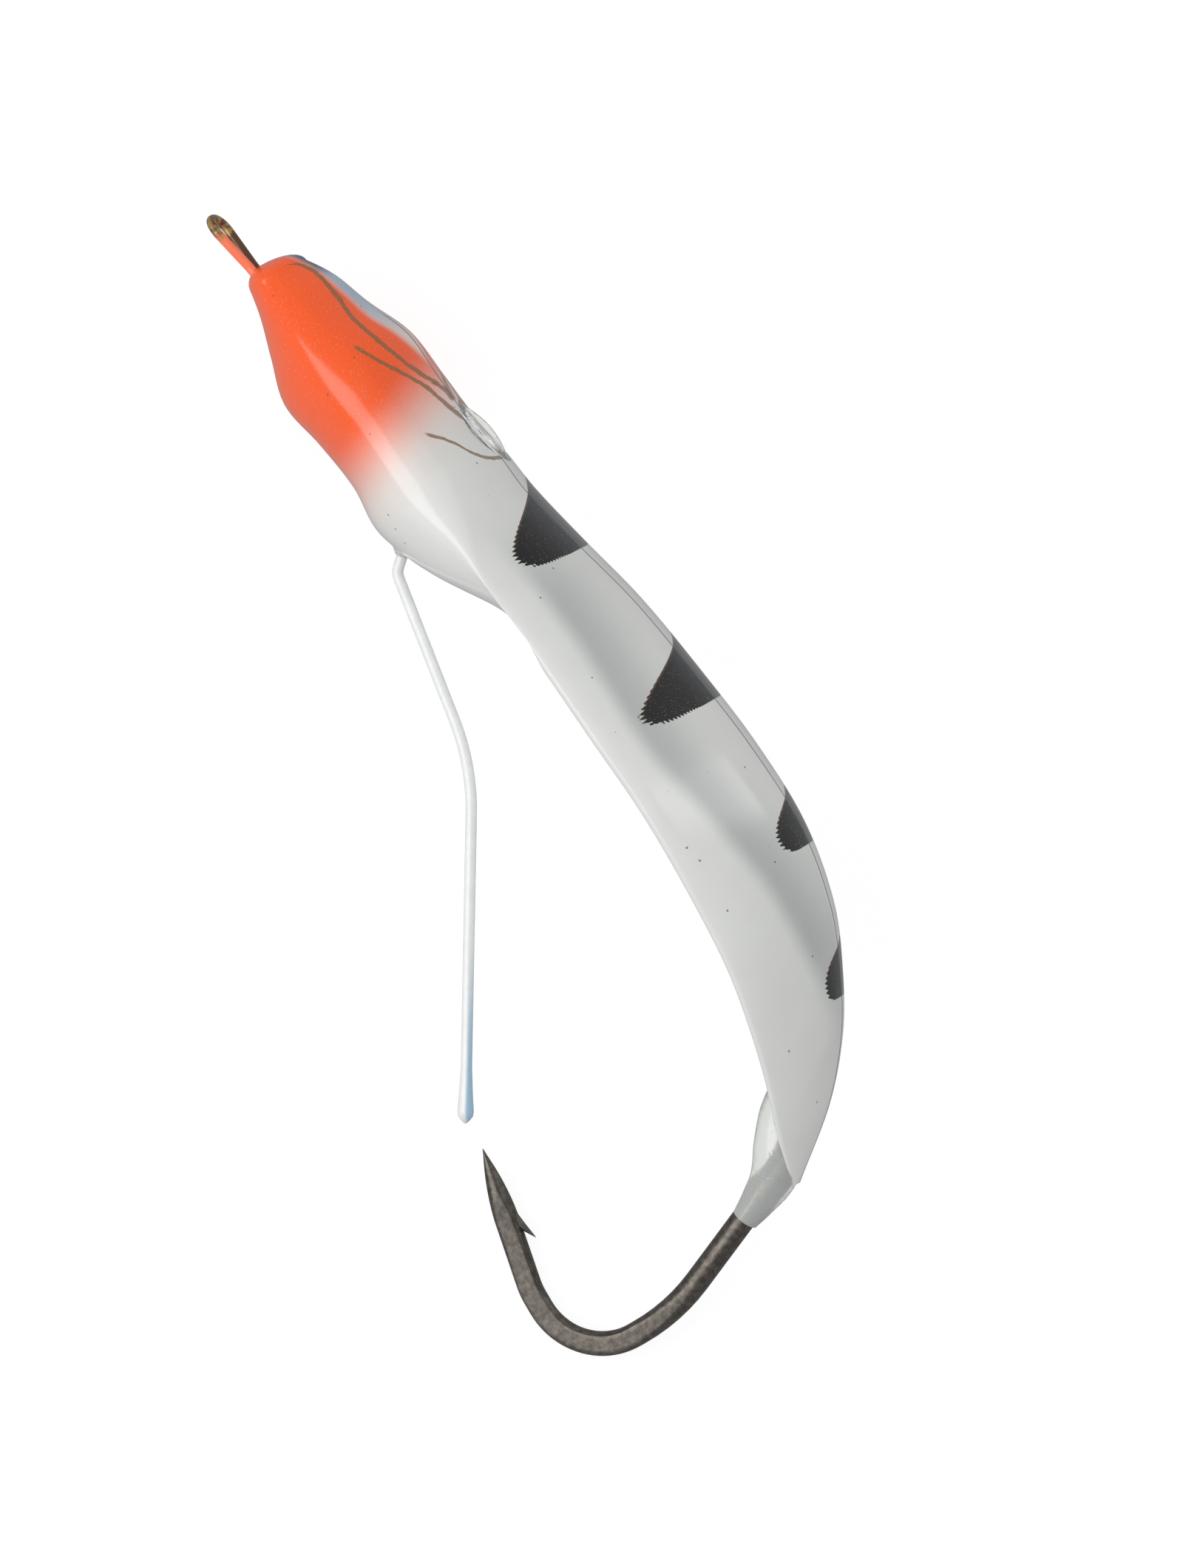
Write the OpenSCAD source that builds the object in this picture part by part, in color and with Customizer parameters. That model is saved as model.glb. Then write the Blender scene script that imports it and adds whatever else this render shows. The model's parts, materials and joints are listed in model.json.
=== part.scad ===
/* Weedless fishing spoon: an arched plastic body in two moulded halves, a fixed single hook,
   a wire line tie and a springy wire weed guard.

   The body is drawn in its own plane: x runs from the nose (0) to the tail, y towards the
   convex ridge and z across the body, so the two halves meet on z = 0. The finished lure is
   then turned to lie on its side, with the middle of the line tie's loop at the origin. */

/* [Body] */
// Length from nose to tail
body_l = 80; // [65:1:100]
// Width across the rims
body_w = 22; // [18:0.5:27]
// Height of the ridge above the line from nose to tail
arch_h = 14.8; // [12.5:0.1:17.5]
// Wall of the hollow part, square to the ridge
wall = 3.2; // [2.9:0.1:3.9]
// Thickness of the rim of the hollow part
rim_t = 1; // [0.6:0.1:1.4]
// Share of a straight crest in the ridge
crest = 0.12; // [0:0.01:0.2]
// Where the hollow starts, from the nose
hollow_start = 24; // [23:0.5:27]
// Where the hollow reaches its full depth, from the nose
hollow_full = 43; // [38:0.5:48]
// Length over which the wall thins to the tail's tip
tail_taper = 9; // [7:0.5:11]
// Radius of the round nose
nose_r = 1.4; // [1:0.1:2]

/* [Locating pegs] */
// Radius of the pegs between the halves
peg_r = 0.8; // [0.6:0.05:0.9]
// How far a peg stands out of the near half
peg_out = 1.8; // [1:0.1:2.5]

/* [Hook] */
// Diameter of the hook's wire
hook_d = 1.9; // [1.6:0.05:2.3]
// How far the bend stands past the tail
hook_out = 3.85; // [2.5:0.05:5]
// Depth of the bend below the line from nose to tail
hook_drop = 22.35; // [19:0.05:26]
// Lean of the shank where it leaves the tail, in degrees
shank_lean = 67.5; // [62:0.5:72]
// Radius of the bend, at the wire's middle
bend_r = 5.3; // [4.5:0.1:6]
// Length from the end of the bend to the point
spear_l = 11.4; // [9:0.1:14]
// Angle by which the point turns towards the body, in degrees
spear_lift = 12.2; // [6:0.1:16]
// Length of the ground point
point_l = 6; // [4:0.5:8]
// Length of the barb
barb_l = 2.1; // [1.4:0.1:2.6]
// Radius of the hook's ringed end inside the body, at the wire's middle
ring_r = 2.6; // [2.3:0.1:3]
// Distance of the ringed end from the tail
ring_back = 24.5; // [20:0.5:28]

/* [Line tie] */
// Diameter of the line tie's wire
tie_d = 0.72; // [0.6:0.02:0.9]
// Length of the loop in front of the nose
tie_l = 4.9; // [4:0.1:6]
// Width of the loop at its front, at the wire's middle
tie_w = 3.1; // [2.6:0.1:4]
// Length of the legs inside the nose
tie_leg = 6; // [5:0.1:7]
// Height of the legs at the nose
tie_y = -0.2; // [-0.4:0.1:0.3]
// Droop of the loop, in degrees
tie_droop = 9.5; // [0:0.5:12]

/* [Weed guard] */
// Diameter over the guard's coating
guard_d = 0.86; // [0.7:0.02:1.1]
// Diameter of the guard's steel core
core_d = 0.46; // [0.3:0.02:0.5]
// Where the guard leaves the belly, from the nose
guard_x = 23.9; // [22:0.1:25]
// Angle at which the guard leaves the belly, in degrees
guard_exit = 50; // [40:1:60]
// Length of the guard from the belly to its first bend
guard_neck = 1.85; // [1.7:0.05:2.5]
// Run of the guard along the belly before it turns down
guard_run = 15.6; // [12:0.1:19]
// Slope of that run, in degrees
guard_slope = 9.5; // [7:0.5:12]
// Distance from the guard's end to the hook's point
tip_gap = 2.6; // [2:0.1:5]
// Diameter of the bead at the guard's end
bead_d = 1.25; // [1:0.05:1.6]
// Length of the bead
bead_l = 4; // [3:0.5:6]

/* [Eye] */
// Diameter of the eye's dome
eye_d = 6; // [5:0.1:7]
// Place of the eye, from the nose
eye_x = 19.2; // [17:0.1:21]
// Place of the eye beside the ridge
eye_side = 1.9; // [1:0.1:2.5]
// Height of the clear dome
dome_h = 0.45; // [0.3:0.05:1]
// Thickness of the eye's coloured disc
disc_t = 0.3; // [0.2:0.05:0.5]

/* [Ballast] */
// Radius of the ballast's rounded edge
ballast_r = 2.5; // [2:0.1:2.8]
// Front of the ballast, from the nose
ballast_front = 9; // [8:0.5:10]
// Length of the ballast
ballast_l = 12.5; // [9:0.5:13]

/* [Fits] */
// Clearance around the hook and the line tie in the body
wire_clear = 0.1; // [0.05:0.01:0.15]
// Clearance around the ballast
ballast_clear = 0.2; // [0.1:0.05:0.4]
// Clearance around the pegs and the eye
seat_clear = 0.05; // [0.03:0.01:0.1]
// Clearance between the guard's core and coating
core_clear = 0.02; // [0.01:0.01:0.04]
// Gap between the fixed and the moving length of the guard
flex_gap = 0.4; // [0.3:0.05:0.5]

/* [Rest] */
// Roll of the lure as it lies on its side, in degrees
roll = 21; // [0:0.5:90]
// Pitch of the lure as it lies on its side, in degrees
pitch = -1.8; // [-5:0.1:5]

/* [Hidden] */
eps = 0.01;

// The body's form. Each row is a place along the length, the height of the ridge, the height
// of the rim and the half-width, in percent of body_l, arch_h, arch_h and body_w / 2.
form = [
    [0, 18, 3.5, 22], [4, 33, 8, 38], [8, 41, 13.5, 54], [12.5, 52, 20, 66],
    [17.5, 54.5, 26, 75], [22.5, 57, 29, 82], [27, 61.5, 33, 86], [31, 64, 38, 89],
    [37.5, 73, 42.5, 93], [45, 84, 48.5, 97], [54, 92.5, 53, 100], [62.5, 98.5, 56.5, 100],
    [71, 100, 55.5, 96], [79, 92, 50.5, 86], [85, 78, 41, 71], [90, 62, 30, 54],
    [95, 38, 16, 34], [100, 3.5, 1, 5]
];
// The belly of the head: places and heights, in percent of body_l and arch_h
belly = [
    [0, -7], [4, -10], [8, -16], [12.5, -22.5], [17.5, -16.5], [22.5, -12], [27, -13],
    [31, -5.5], [37.5, 9], [45, 32], [54, 56]
];

nose_steps = [15, 35, 55, 75];
form_steps = concat(
    [for (f = [2 : 1.2 : 38]) f], [for (f = [40 : 2 : 82]) f], [for (f = [83.5 : 1.5 : 98.5]) f], [99.4, 100]
);
outer_steps = 13;
rim_steps = 4;
inner_steps = 9;
wire_sides = 12;
arc_step = 12;

function unit(v) = v / norm(v);
function limit(v) = min(1, max(0, v));
function ease(v) = let (t = limit(v)) t * t * (3 - 2 * t);

// Smooth curve through the rows of a table: the value in column c at place u
function slope_at(t, i, c) =
    let (a = t[max(0, i - 1)], b = t[min(len(t) - 1, i + 1)]) (b[c] - a[c]) / (b[0] - a[0]);
function row_before(t, u, i = 0) = i >= len(t) - 2 || t[i + 1][0] > u ? i : row_before(t, u, i + 1);
function smooth(t, u, c) =
    let (
        v = min(u, t[len(t) - 1][0]),
        i = row_before(t, v),
        w = t[i + 1][0] - t[i][0],
        f = (v - t[i][0]) / w,
        a = t[i][c], b = t[i + 1][c],
        ma = slope_at(t, i, c) * w, mb = slope_at(t, i + 1, c) * w
    )
    a + f * ma + f * f * (3 * (b - a) - 2 * ma - mb) + f * f * f * (2 * (a - b) + ma + mb);

function percent(x) = 100 * x / body_l;
function ridge_y(x) = smooth(form, percent(x), 1) * arch_h / 100;
function rim_y(x) = smooth(form, percent(x), 2) * arch_h / 100;
function half_w(x) = smooth(form, percent(x), 3) * body_w / 200;
function ridge_slope(x) = ridge_y(x + 0.5) - ridge_y(x - 0.5);
function wall_y(x) = wall * sqrt(1 + pow(ridge_slope(min(x, body_l - 0.5)), 2));
function under_y(x) =
    let (w = ease((x - hollow_start) / (hollow_full - hollow_start)))
    (1 - w) * smooth(belly, percent(x), 1) * arch_h / 100
    + w * (ridge_y(x) - wall_y(x) * limit(max(0.04, (body_l - x) / tail_taper)));

// Height of the outer face at x, a share v of the way from the ridge to the rim. The first
// power flattens the top, and the second one makes the sides steeper the smaller it is.
top_power = 2.2;
side_power = 0.75;
function crown(v) = (1 - crest) * pow(1 - pow(v, top_power), side_power) + crest * (1 - v);
function outer_y(x, v) = rim_y(x) + (ridge_y(x) - rim_y(x)) * crown(v);

// Outline of one half across the body at x, as [y, z] points from the ridge round to the seam
function half_section(x) =
    let (
        rim = rim_y(x), under = under_y(x), a = half_w(x),
        r = min(rim_t, a) / 2 * limit((under - rim) / 1.2),
        inner_a = a - 2 * r
    )
    concat(
        [for (i = [0 : outer_steps]) let (v = sin(90 * i / outer_steps)) [outer_y(x, v), a * v]],
        [
            for (i = [1 : rim_steps])
            let (t = 180 * i / rim_steps) [rim - max(r, eps) * sin(t), a - max(r, eps) * (1 - cos(t))]
        ],
        [
            for (i = [inner_steps - 1 : -1 : 0])
            let (v = sin(90 * i / inner_steps)) [rim + (under - rim) * (1 - v * v), inner_a * v]
        ]
    );

// The round nose shrinks the section towards this height
nose_y = 0.4;
function nose_ring(t) =
    [for (p = half_section(nose_r)) [nose_r * (1 - cos(t)), nose_y + (p[0] - nose_y) * sin(t), p[1] * sin(t)]];
function body_rings() = concat(
    [for (t = nose_steps) nose_ring(t)],
    [for (f = form_steps) let (x = f * body_l / 100) [for (p = half_section(x)) [x, p[0], p[1]]]]
);

// Closed skin over a list of rings with the same number of points
module skin(rings) {
    n = len(rings[0]);
    last = (len(rings) - 1) * n;
    polyhedron(
        points = [for (ring = rings) each ring],
        faces = concat(
            [[for (j = [0 : n - 1]) j]],
            [
                for (i = [0 : len(rings) - 2], j = [0 : n - 1])
                let (a = i * n + j, b = i * n + (j + 1) % n)
                each [[a, b + n, b], [a, a + n, b + n]]
            ],
            [[for (j = [n - 1 : -1 : 0]) last + j]]
        ),
        convexity = 8
    );
}

// Arc that rounds the corner b of the line a-b-c, as points
function turned(v, t) = [v[0] * cos(t) - v[1] * sin(t), v[0] * sin(t) + v[1] * cos(t)];
function corner_arc(a, b, c, r) =
    let (
        u = unit(a - b), w = unit(c - b),
        half = acos(u * w) / 2,
        middle = b + unit(u + w) * r / sin(half),
        from = b + u * r / tan(half) - middle,
        to = b + w * r / tan(half) - middle,
        sweep = atan2(from[0] * to[1] - from[1] * to[0], from * to),
        n = max(2, ceil(abs(sweep) / arc_step))
    )
    [for (i = [0 : n]) middle + turned(from, sweep * i / n)];

// Line through corners [x, y, radius], with each inner corner rounded to its radius
function flat(c) = [c[0], c[1]];
function rounded(corners) = concat(
    [flat(corners[0])],
    [
        for (i = [1 : len(corners) - 2])
        each corner_arc(flat(corners[i - 1]), flat(corners[i]), flat(corners[i + 1]), corners[i][2])
    ],
    [flat(corners[len(corners) - 1])]
);

// Wire along a flat path. Sizes is one [half-thickness in the plane, half-width across] a point.
function direction(path, i) = unit(path[min(len(path) - 1, i + 1)] - path[max(0, i - 1)]);
function wire_rings(path, sizes, sides) = [
    for (i = [0 : len(path) - 1])
    let (d = direction(path, i))
    [
        for (j = [0 : sides - 1])
        let (t = 360 * j / sides)
        [
            path[i][0] - d[1] * sizes[i][0] * cos(t),
            path[i][1] + d[0] * sizes[i][0] * cos(t),
            sizes[i][1] * sin(t)
        ]
    ]
];
module wire(path, r, sides = wire_sides) {
    skin(wire_rings(path, [for (p = path) [r, r]], sides));
}

// Hook: along the middle of the wall, out at the tail, round the bend and back to the point
hook_r = hook_d / 2;
bend_x = body_l + hook_out;
ring_x = body_l - ring_back;
function wall_middle(x) = [x, ridge_y(x) - wall_y(x) / 2];
lean = [cos(shank_lean), -sin(shank_lean)];
shank_exit = [body_l - 1.7, 0];
shank_foot = shank_exit + lean * (bend_x - shank_exit[0]) / lean[0];
bend_end = [bend_x - bend_r - 1.5, -hook_drop];
spear = [-cos(spear_lift), sin(spear_lift)];
hook_point = bend_end + spear * spear_l;
ring_mid = wall_middle(ring_x);
ring_tilt = atan(ridge_slope(ring_x));
ring_exit = ring_mid + ring_r * [cos(ring_tilt), sin(ring_tilt)];
shank_corners = concat(
    [[ring_exit[0], ring_exit[1], 0]],
    [for (f = [82.5, 91]) let (p = wall_middle(f * body_l / 100)) [p[0], p[1], 18]],
    [[shank_exit[0], shank_exit[1], 9], [shank_foot[0], shank_foot[1], 16]],
    [[bend_x, -hook_drop, bend_r], [bend_end[0], bend_end[1], 6], [hook_point[0], hook_point[1], 0]]
);
hook_bent = rounded(shank_corners);
point_start = spear_l - point_l;
hook_path = concat(
    [for (i = [0 : len(hook_bent) - 2]) hook_bent[i]],
    [for (f = [0, 0.3, 0.55, 0.8, 1]) bend_end + spear * (point_start + f * point_l)]
);
// The wire is forged flatter from the shank's foot to the point, and ground to a needle point
forge_start = len(rounded([for (i = [0 : 4]) shank_corners[i]])) - 3;
function forged(i) = limit((i - forge_start) / 3);
function ground(i) = let (k = i - (len(hook_path) - 5)) k <= 0 ? 1 : [1, 0.9, 0.7, 0.4, 0.06][k];
hook_sizes = [
    for (i = [0 : len(hook_path) - 1])
    [hook_r * ground(i) * (1 - 0.06 * forged(i)), hook_r * ground(i) * (1 - 0.14 * forged(i))]
];
hook_sides = 14;

// Barb: a thin wedge that rises from the inner side of the spear and points back to the bend
barb_at = 5.4;
barb_w = 0.9;
barb_rise = 0.85;
spear_in = [spear[1], -spear[0]] * -1;
function barb_ring(back, low, high, w) = [
    for (c = [[low, -w], [low, w], [high, w], [high, -w]])
    let (p = hook_point - spear * (barb_at + back) + spear_in * -c[0]) [p[0], p[1], c[1] / 2]
];
barb_rings = [
    barb_ring(-0.6, 0.2, 0.45, barb_w * 0.8), barb_ring(0.6, 0.3, hook_r + 0.15, barb_w),
    barb_ring(barb_l, hook_r + barb_rise - 0.12, hook_r + barb_rise, barb_w * 0.3)
];

// Potting: rows of a step, a distance past the tail, a height and a radius of the resin, from
// inside the hollow down the shank
potting = [
    [0, -7.2, 3.8, 1.1], [1, -5.2, 2.2, 1.8], [2, -3.2, 0.8, 2.1], [3, -1.4, -1, 1.8],
    [4, -0.4, -2.9, 1.4], [5, 0.35, -4.7, hook_r + 0.12]
];
potting_steps = 10;
potting_sides = 20;
function resin(k, column) = smooth(potting, k * (len(potting) - 1) / potting_steps, column);
potting_path = [for (k = [0 : potting_steps]) [body_l + resin(k, 1), resin(k, 2)]];
potting_sizes = [for (k = [0 : potting_steps]) resin(k, 3) * [1, 1]];

// Line tie: drawn in its own plane, [x, z], then drooped about the nose
tie_r = tie_d / 2;
tie_neck = 0.55;
tie_foot = 1.8;
tie_half = [
    [tie_leg, tie_foot, 0], [tie_leg, tie_neck, 0.7], [-0.3, tie_neck, 1.2], [-tie_l, tie_w / 2, tie_w * 0.37]
];
tie_path = rounded(concat(
    tie_half, [for (i = [len(tie_half) - 1 : -1 : 0]) [tie_half[i][0], -tie_half[i][1], tie_half[i][2]]]
));
tie_mid = [-tie_l * 0.62, 0];
tie_origin = [tie_mid[0] * cos(tie_droop), tie_y + tie_mid[0] * sin(tie_droop), 0];

// Weed guard: out of the belly, along it, then down to end just short of the hook's point
guard_r = guard_d / 2;
guard_base = [guard_x, under_y(guard_x)];
guard_start_dir = [cos(guard_exit), -sin(guard_exit)];
guard_pivot = guard_base + guard_start_dir * 0.8;
guard_knee = guard_base + guard_start_dir * guard_neck;
guard_turn = guard_knee + guard_run * [cos(guard_slope), -sin(guard_slope)];
guard_tip = hook_point + tip_gap * [-1, 0];
guard_end_dir = unit(guard_tip - guard_turn);
guard_corners = [
    [guard_pivot[0], guard_pivot[1], 0], [guard_knee[0], guard_knee[1], 1.3],
    [guard_turn[0], guard_turn[1], 18], [guard_tip[0], guard_tip[1], 0]
];
guard_bent = rounded(guard_corners);
guard_bead = [[-bead_l, 1], [-bead_l * 0.45, 1.25], [-bead_l * 0.15, bead_d / guard_d], [0, 0.9], [0.3, 0.25]];
guard_last = len(guard_bent) - 2;
coating_path = concat(
    [guard_pivot + guard_start_dir * flex_gap / 2],
    [for (i = [1 : guard_last]) guard_bent[i]],
    [for (b = guard_bead) guard_tip + guard_end_dir * b[0]]
);
coating_radii = concat([for (i = [0 : guard_last]) guard_r], [for (b = guard_bead) guard_r * b[1]]);
core_path = concat(
    [guard_pivot + guard_start_dir * flex_gap / 2],
    [for (i = [1 : guard_last]) guard_bent[i]],
    [guard_tip - guard_end_dir * bead_l, guard_tip - guard_end_dir * bead_l * 0.5]
);
core_hole = concat([core_path[0] - guard_start_dir], [for (i = [1 : len(core_path) - 2]) core_path[i]],
    [guard_tip - guard_end_dir * (bead_l * 0.5 - core_clear)]);
root_depth = 2.6;
collar_r = 1.3;

// Eye: on the far half, square to the body's face there
eye_r = eye_d / 2;
eye_share = eye_side / half_w(eye_x);
eye_top = outer_y(eye_x, eye_share);
eye_lean = atan((outer_y(eye_x, eye_share + 0.05) - outer_y(eye_x, eye_share - 0.05)) / (0.1 * half_w(eye_x)));
eye_climb = atan(ridge_slope(eye_x));
eye_sink = 0.55;
dome_rise = dome_h + eye_sink - disc_t;
dome_ball = (eye_r * eye_r + dome_rise * dome_rise) / (2 * dome_rise);

// Ballast: a slug with round edges in the head
ballast_y = 2.9;
ballast_side = [1.2, 3.2];

// Places along the body, in percent, of the pegs between the halves
peg_places = [33, 52, 63];

// Lays the lure on its side, with the middle of the line tie's loop at the origin
module lay() {
    rotate([roll, pitch, 0]) translate(-tie_origin) children();
}

module at_eye() {
    translate([eye_x, eye_top, -eye_side]) rotate([-90 + eye_lean, 0, 0]) rotate([0, -eye_climb, 0])
        translate([0, 0, -eye_sink]) children();
}

module ballast_shape(r) {
    hull()
        for (e = [0, 1], s = [-1, 1])
            translate([ballast_front + ballast_r + e * (ballast_l - 2 * ballast_r), ballast_y, s * ballast_side[e]])
                sphere(r = r, $fn = 24);
}

module hook_wire(extra = 0) {
    sizes = [for (s = hook_sizes) s + [extra, extra]];
    skin(wire_rings(hook_path, sizes, hook_sides));
}

// The wire's end is bent round into a ring, square to the hook's own plane
module hook_ring(extra = 0) {
    turn = [for (a = [0 : 15 : 330]) ring_r * [cos(a), sin(a)]];
    translate([ring_mid[0], ring_mid[1], 0]) rotate([0, 0, ring_tilt]) rotate([-90, 0, 0])
        wire(turn, hook_r + extra, hook_sides);
}

module line_tie_wire(extra = 0) {
    translate([0, tie_y, 0]) rotate([0, 0, tie_droop]) rotate([90, 0, 0]) wire(tie_path, tie_r + extra);
}

// Stands children on the guard's line where it leaves the belly, with +z along the wire
module at_guard() {
    translate([guard_base[0], guard_base[1], 0]) rotate([0, 0, -guard_exit]) rotate([0, 90, 0]) children();
}

module guard_stub(r, depth) {
    top = norm(guard_pivot - guard_base) - flex_gap / 2;
    at_guard() translate([0, 0, -depth]) cylinder(r = r, h = depth + top, $fn = 24);
}

module pegs(r, out) {
    for (f = peg_places)
        let (x = f * body_l / 100)
            translate([x, (ridge_y(x) + max(under_y(x), rim_y(x) - wall)) / 2, -out])
                cylinder(r = r, h = out + 1, $fn = 20);
}

module pockets() {
    hook_wire(wire_clear);
    hook_ring(wire_clear);
    line_tie_wire(wire_clear);
    ballast_shape(ballast_r + ballast_clear);
    guard_stub(guard_r + seat_clear, root_depth + 0.1);
    at_eye() cylinder(r = eye_r + seat_clear, h = 4, $fn = 40);
}

module half_form() {
    skin(body_rings());
}

module body_half_near() {
    color("whitesmoke") lay() {
        difference() {
            half_form();
            pockets();
        }
        pegs(peg_r, peg_out);
    }
}

module body_half_far() {
    color("gainsboro") lay()
        difference() {
            mirror([0, 0, 1]) half_form();
            pockets();
            pegs(peg_r + seat_clear, peg_out + 0.2);
        }
}

module ballast() {
    color("goldenrod") lay() ballast_shape(ballast_r);
}

module hook() {
    color("dimgray") lay()
        union() {
            hook_wire();
            hook_ring();
            skin(barb_rings);
        }
}

// Clear resin that beds the shank on the underside of the tail
module tail_potting() {
    color("lightcyan") lay()
        difference() {
            skin(wire_rings(potting_path, potting_sizes, potting_sides));
            half_form();
            mirror([0, 0, 1]) half_form();
            hook_wire(eps);
        }
}

module line_tie() {
    color("darkgoldenrod") lay() line_tie_wire();
}

// Bonded end of the guard, with the small collar of glue where it leaves the belly
module guard_root() {
    color("ivory") lay()
        union() {
            guard_stub(guard_r, root_depth);
            difference() {
                at_guard() translate([0, 0, -0.6]) cylinder(r1 = collar_r, r2 = guard_r, h = 1, $fn = 24);
                half_form();
                mirror([0, 0, 1]) half_form();
            }
        }
}

module guard_core() {
    color("silver") lay() wire(core_path, core_d / 2, 10);
}

// Coating: a tube over the core, closed by the bead at its end
module guard_coating() {
    color("white") lay()
        difference() {
            skin(wire_rings(coating_path, [for (r = coating_radii) [r, r]], 10));
            wire(core_hole, core_d / 2 + core_clear, 10);
        }
}

module eye_disc() {
    color("gold") lay() at_eye() translate([0, 0, eps]) cylinder(r = eye_r - 0.3, h = disc_t, $fn = 48);
}

module eye_lens() {
    color("aliceblue") lay() at_eye() translate([0, 0, disc_t + 2 * eps])
        rotate_extrude($fn = 48) intersection() {
            translate([0, dome_h + eye_sink - disc_t - dome_ball]) circle(r = dome_ball, $fn = 96);
            square([eye_r, dome_h + eye_sink]);
        }
}

body_half_near();
body_half_far();
ballast();
hook();
tail_potting();
line_tie();
guard_root();
guard_core();
guard_coating();
eye_disc();
eye_lens();
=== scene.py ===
import json
import math

import bpy
from mathutils import Matrix, Vector


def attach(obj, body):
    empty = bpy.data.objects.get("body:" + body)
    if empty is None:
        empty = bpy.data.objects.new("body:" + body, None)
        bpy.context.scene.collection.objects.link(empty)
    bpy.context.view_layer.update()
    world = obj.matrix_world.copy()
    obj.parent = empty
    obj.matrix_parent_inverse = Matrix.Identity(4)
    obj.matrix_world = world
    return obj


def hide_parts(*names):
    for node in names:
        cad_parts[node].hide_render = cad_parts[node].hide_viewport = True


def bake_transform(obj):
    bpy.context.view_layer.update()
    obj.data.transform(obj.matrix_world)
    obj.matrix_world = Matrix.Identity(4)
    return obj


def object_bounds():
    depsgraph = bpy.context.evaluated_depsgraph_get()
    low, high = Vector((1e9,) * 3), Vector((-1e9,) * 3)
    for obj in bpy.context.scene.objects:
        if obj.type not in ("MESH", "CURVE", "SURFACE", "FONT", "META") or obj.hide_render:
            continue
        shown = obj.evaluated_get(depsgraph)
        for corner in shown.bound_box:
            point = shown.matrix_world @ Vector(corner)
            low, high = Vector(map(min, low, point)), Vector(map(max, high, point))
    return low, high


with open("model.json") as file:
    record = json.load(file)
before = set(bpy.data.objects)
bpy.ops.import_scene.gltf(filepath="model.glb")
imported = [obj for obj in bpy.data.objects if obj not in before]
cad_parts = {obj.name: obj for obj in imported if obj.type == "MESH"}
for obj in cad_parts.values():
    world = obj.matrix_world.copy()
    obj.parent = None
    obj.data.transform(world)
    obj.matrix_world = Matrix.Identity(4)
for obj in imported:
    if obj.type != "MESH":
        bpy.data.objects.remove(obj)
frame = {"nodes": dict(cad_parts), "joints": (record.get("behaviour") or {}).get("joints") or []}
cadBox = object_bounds()
print("frame loaded with", len(frame["nodes"]), "CAD nodes")

mm = 0.001


# small helpers
def clearSelection():
    if bpy.context.mode != "OBJECT":
        bpy.ops.object.mode_set(mode="OBJECT")
    bpy.ops.object.select_all(action="DESELECT")


def activate(obj):
    clearSelection()
    obj.select_set(True)
    bpy.context.view_layer.objects.active = obj


def editAll(obj):
    activate(obj)
    bpy.ops.object.mode_set(mode="EDIT")
    bpy.ops.mesh.select_all(action="SELECT")


def applyModifier(obj, kind, **settings):
    modifier = obj.modifiers.new(kind.title(), kind)
    for name, value in settings.items():
        setattr(modifier, name, value)
    activate(obj)
    bpy.ops.object.modifier_apply(modifier=modifier.name)


def closeUp(obj, gap=0.0005 * mm):  # doubles first, then the faces turned outwards
    editAll(obj)
    bpy.ops.mesh.remove_doubles(threshold=gap)
    bpy.ops.mesh.select_all(action="SELECT")
    bpy.ops.mesh.normals_make_consistent(inside=False)
    bpy.ops.object.mode_set(mode="OBJECT")


def smoothShade(obj, angle=35):
    activate(obj)
    bpy.ops.object.shade_smooth_by_angle(angle=math.radians(angle))


def limit(x, low=0.0, high=1.0):
    return min(high, max(low, x))


def ease(x):
    t = limit(x)
    return t * t * (3 - 2 * t)


def smoothRow(rows, u, column):  # smooth curve through the rows of a table
    u = limit(u, rows[0][0], rows[-1][0])
    i = max(k for k in range(len(rows) - 1) if rows[k][0] <= u)
    a, b = rows[i], rows[i + 1]

    def slope(k):
        before, after = rows[max(0, k - 1)], rows[min(len(rows) - 1, k + 1)]
        return (after[column] - before[column]) / (after[0] - before[0])

    width = b[0] - a[0]
    f = (u - a[0]) / width
    start, end = slope(i) * width, slope(i + 1) * width
    rise = b[column] - a[column]
    return a[column] + f * start + f * f * (3 * rise - 2 * start - end) + f ** 3 * (start + end - 2 * rise)


def roundedPath(corners, step=6):  # corners are (x, y, radius), each inner one turned on an arc
    path = [Vector(corners[0][:2])]
    for before, corner, after in zip(corners, corners[1:], corners[2:]):
        b = Vector(corner[:2])
        u, w = (Vector(before[:2]) - b).normalized(), (Vector(after[:2]) - b).normalized()
        half = math.acos(limit(u.dot(w), -1, 1)) / 2
        middle = b + (u + w).normalized() * corner[2] / math.sin(half)
        start, end = b + u * corner[2] / math.tan(half) - middle, b + w * corner[2] / math.tan(half) - middle
        sweep = math.atan2(start.x * end.y - start.y * end.x, start.dot(end))
        count = max(2, math.ceil(abs(math.degrees(sweep)) / step))
        path += [middle + Matrix.Rotation(sweep * k / count, 2) @ start for k in range(count + 1)]
    return path + [Vector(corners[-1][:2])]


def wireAlong(name, points, radii, sides=24):  # points are (x, y, z) in millimetres, as the lure's own frame
    curve = bpy.data.curves.new(name, "CURVE")
    curve.dimensions, curve.bevel_depth, curve.bevel_resolution = "3D", mm, sides // 2 - 2
    curve.use_fill_caps = True
    spline = curve.splines.new("POLY")
    spline.points.add(len(points) - 1)
    for point, place, radius in zip(spline.points, points, radii):
        point.co = (*(Vector(place) * mm), 1)
        point.radius = radius
    obj = bpy.data.objects.new(name, curve)
    bpy.context.scene.collection.objects.link(obj)
    activate(obj)
    bpy.ops.object.convert(target="MESH")
    obj = bpy.context.view_layer.objects.active
    closeUp(obj)
    return obj


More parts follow.
